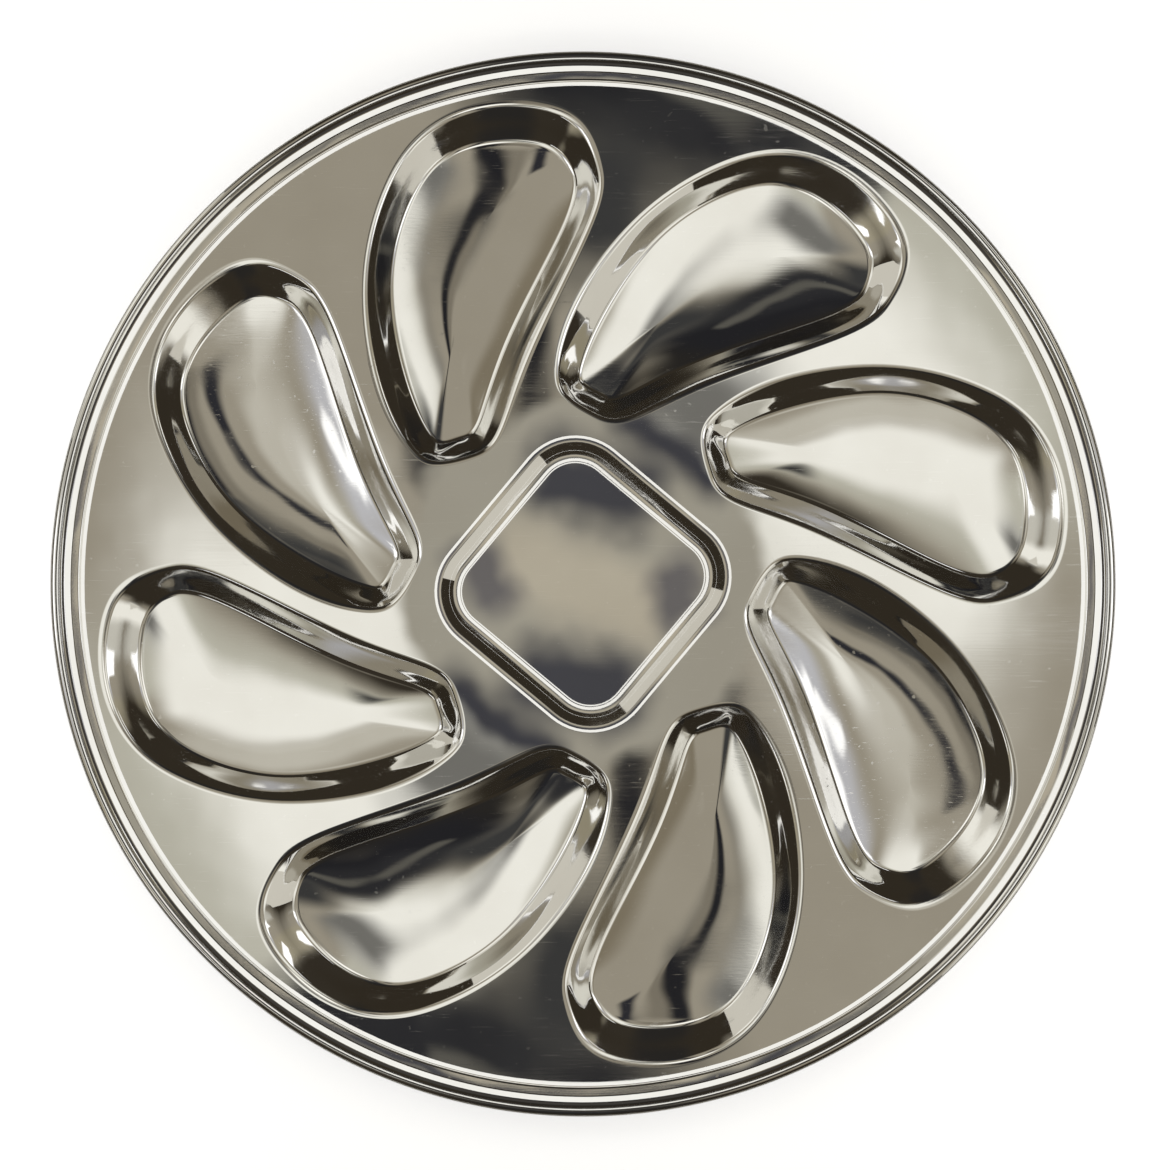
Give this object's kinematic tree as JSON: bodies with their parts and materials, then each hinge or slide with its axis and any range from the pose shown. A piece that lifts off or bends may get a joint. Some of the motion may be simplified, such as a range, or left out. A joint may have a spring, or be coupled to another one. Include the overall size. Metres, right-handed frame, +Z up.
{
  "type": "oyster plate",
  "caption": "Round pressed steel oyster plate with curved wells fanned round a square middle compartment and a raised rolled rim.",
  "frame": {"origin": "centre of the plate, on the table it rests on", "axes": "+Z up out of the wells, the plate's axis; +X and +Y across the plate, with the first well's middle 21 degrees from +X towards +Y"},
  "size_m": [0.25, 0.25, 0.011],
  "materials": {
    "plate": "polished stainless steel"
  },
  "bodies": {
    "root": {"plate": "plate"}
  },
  "joints": []
}
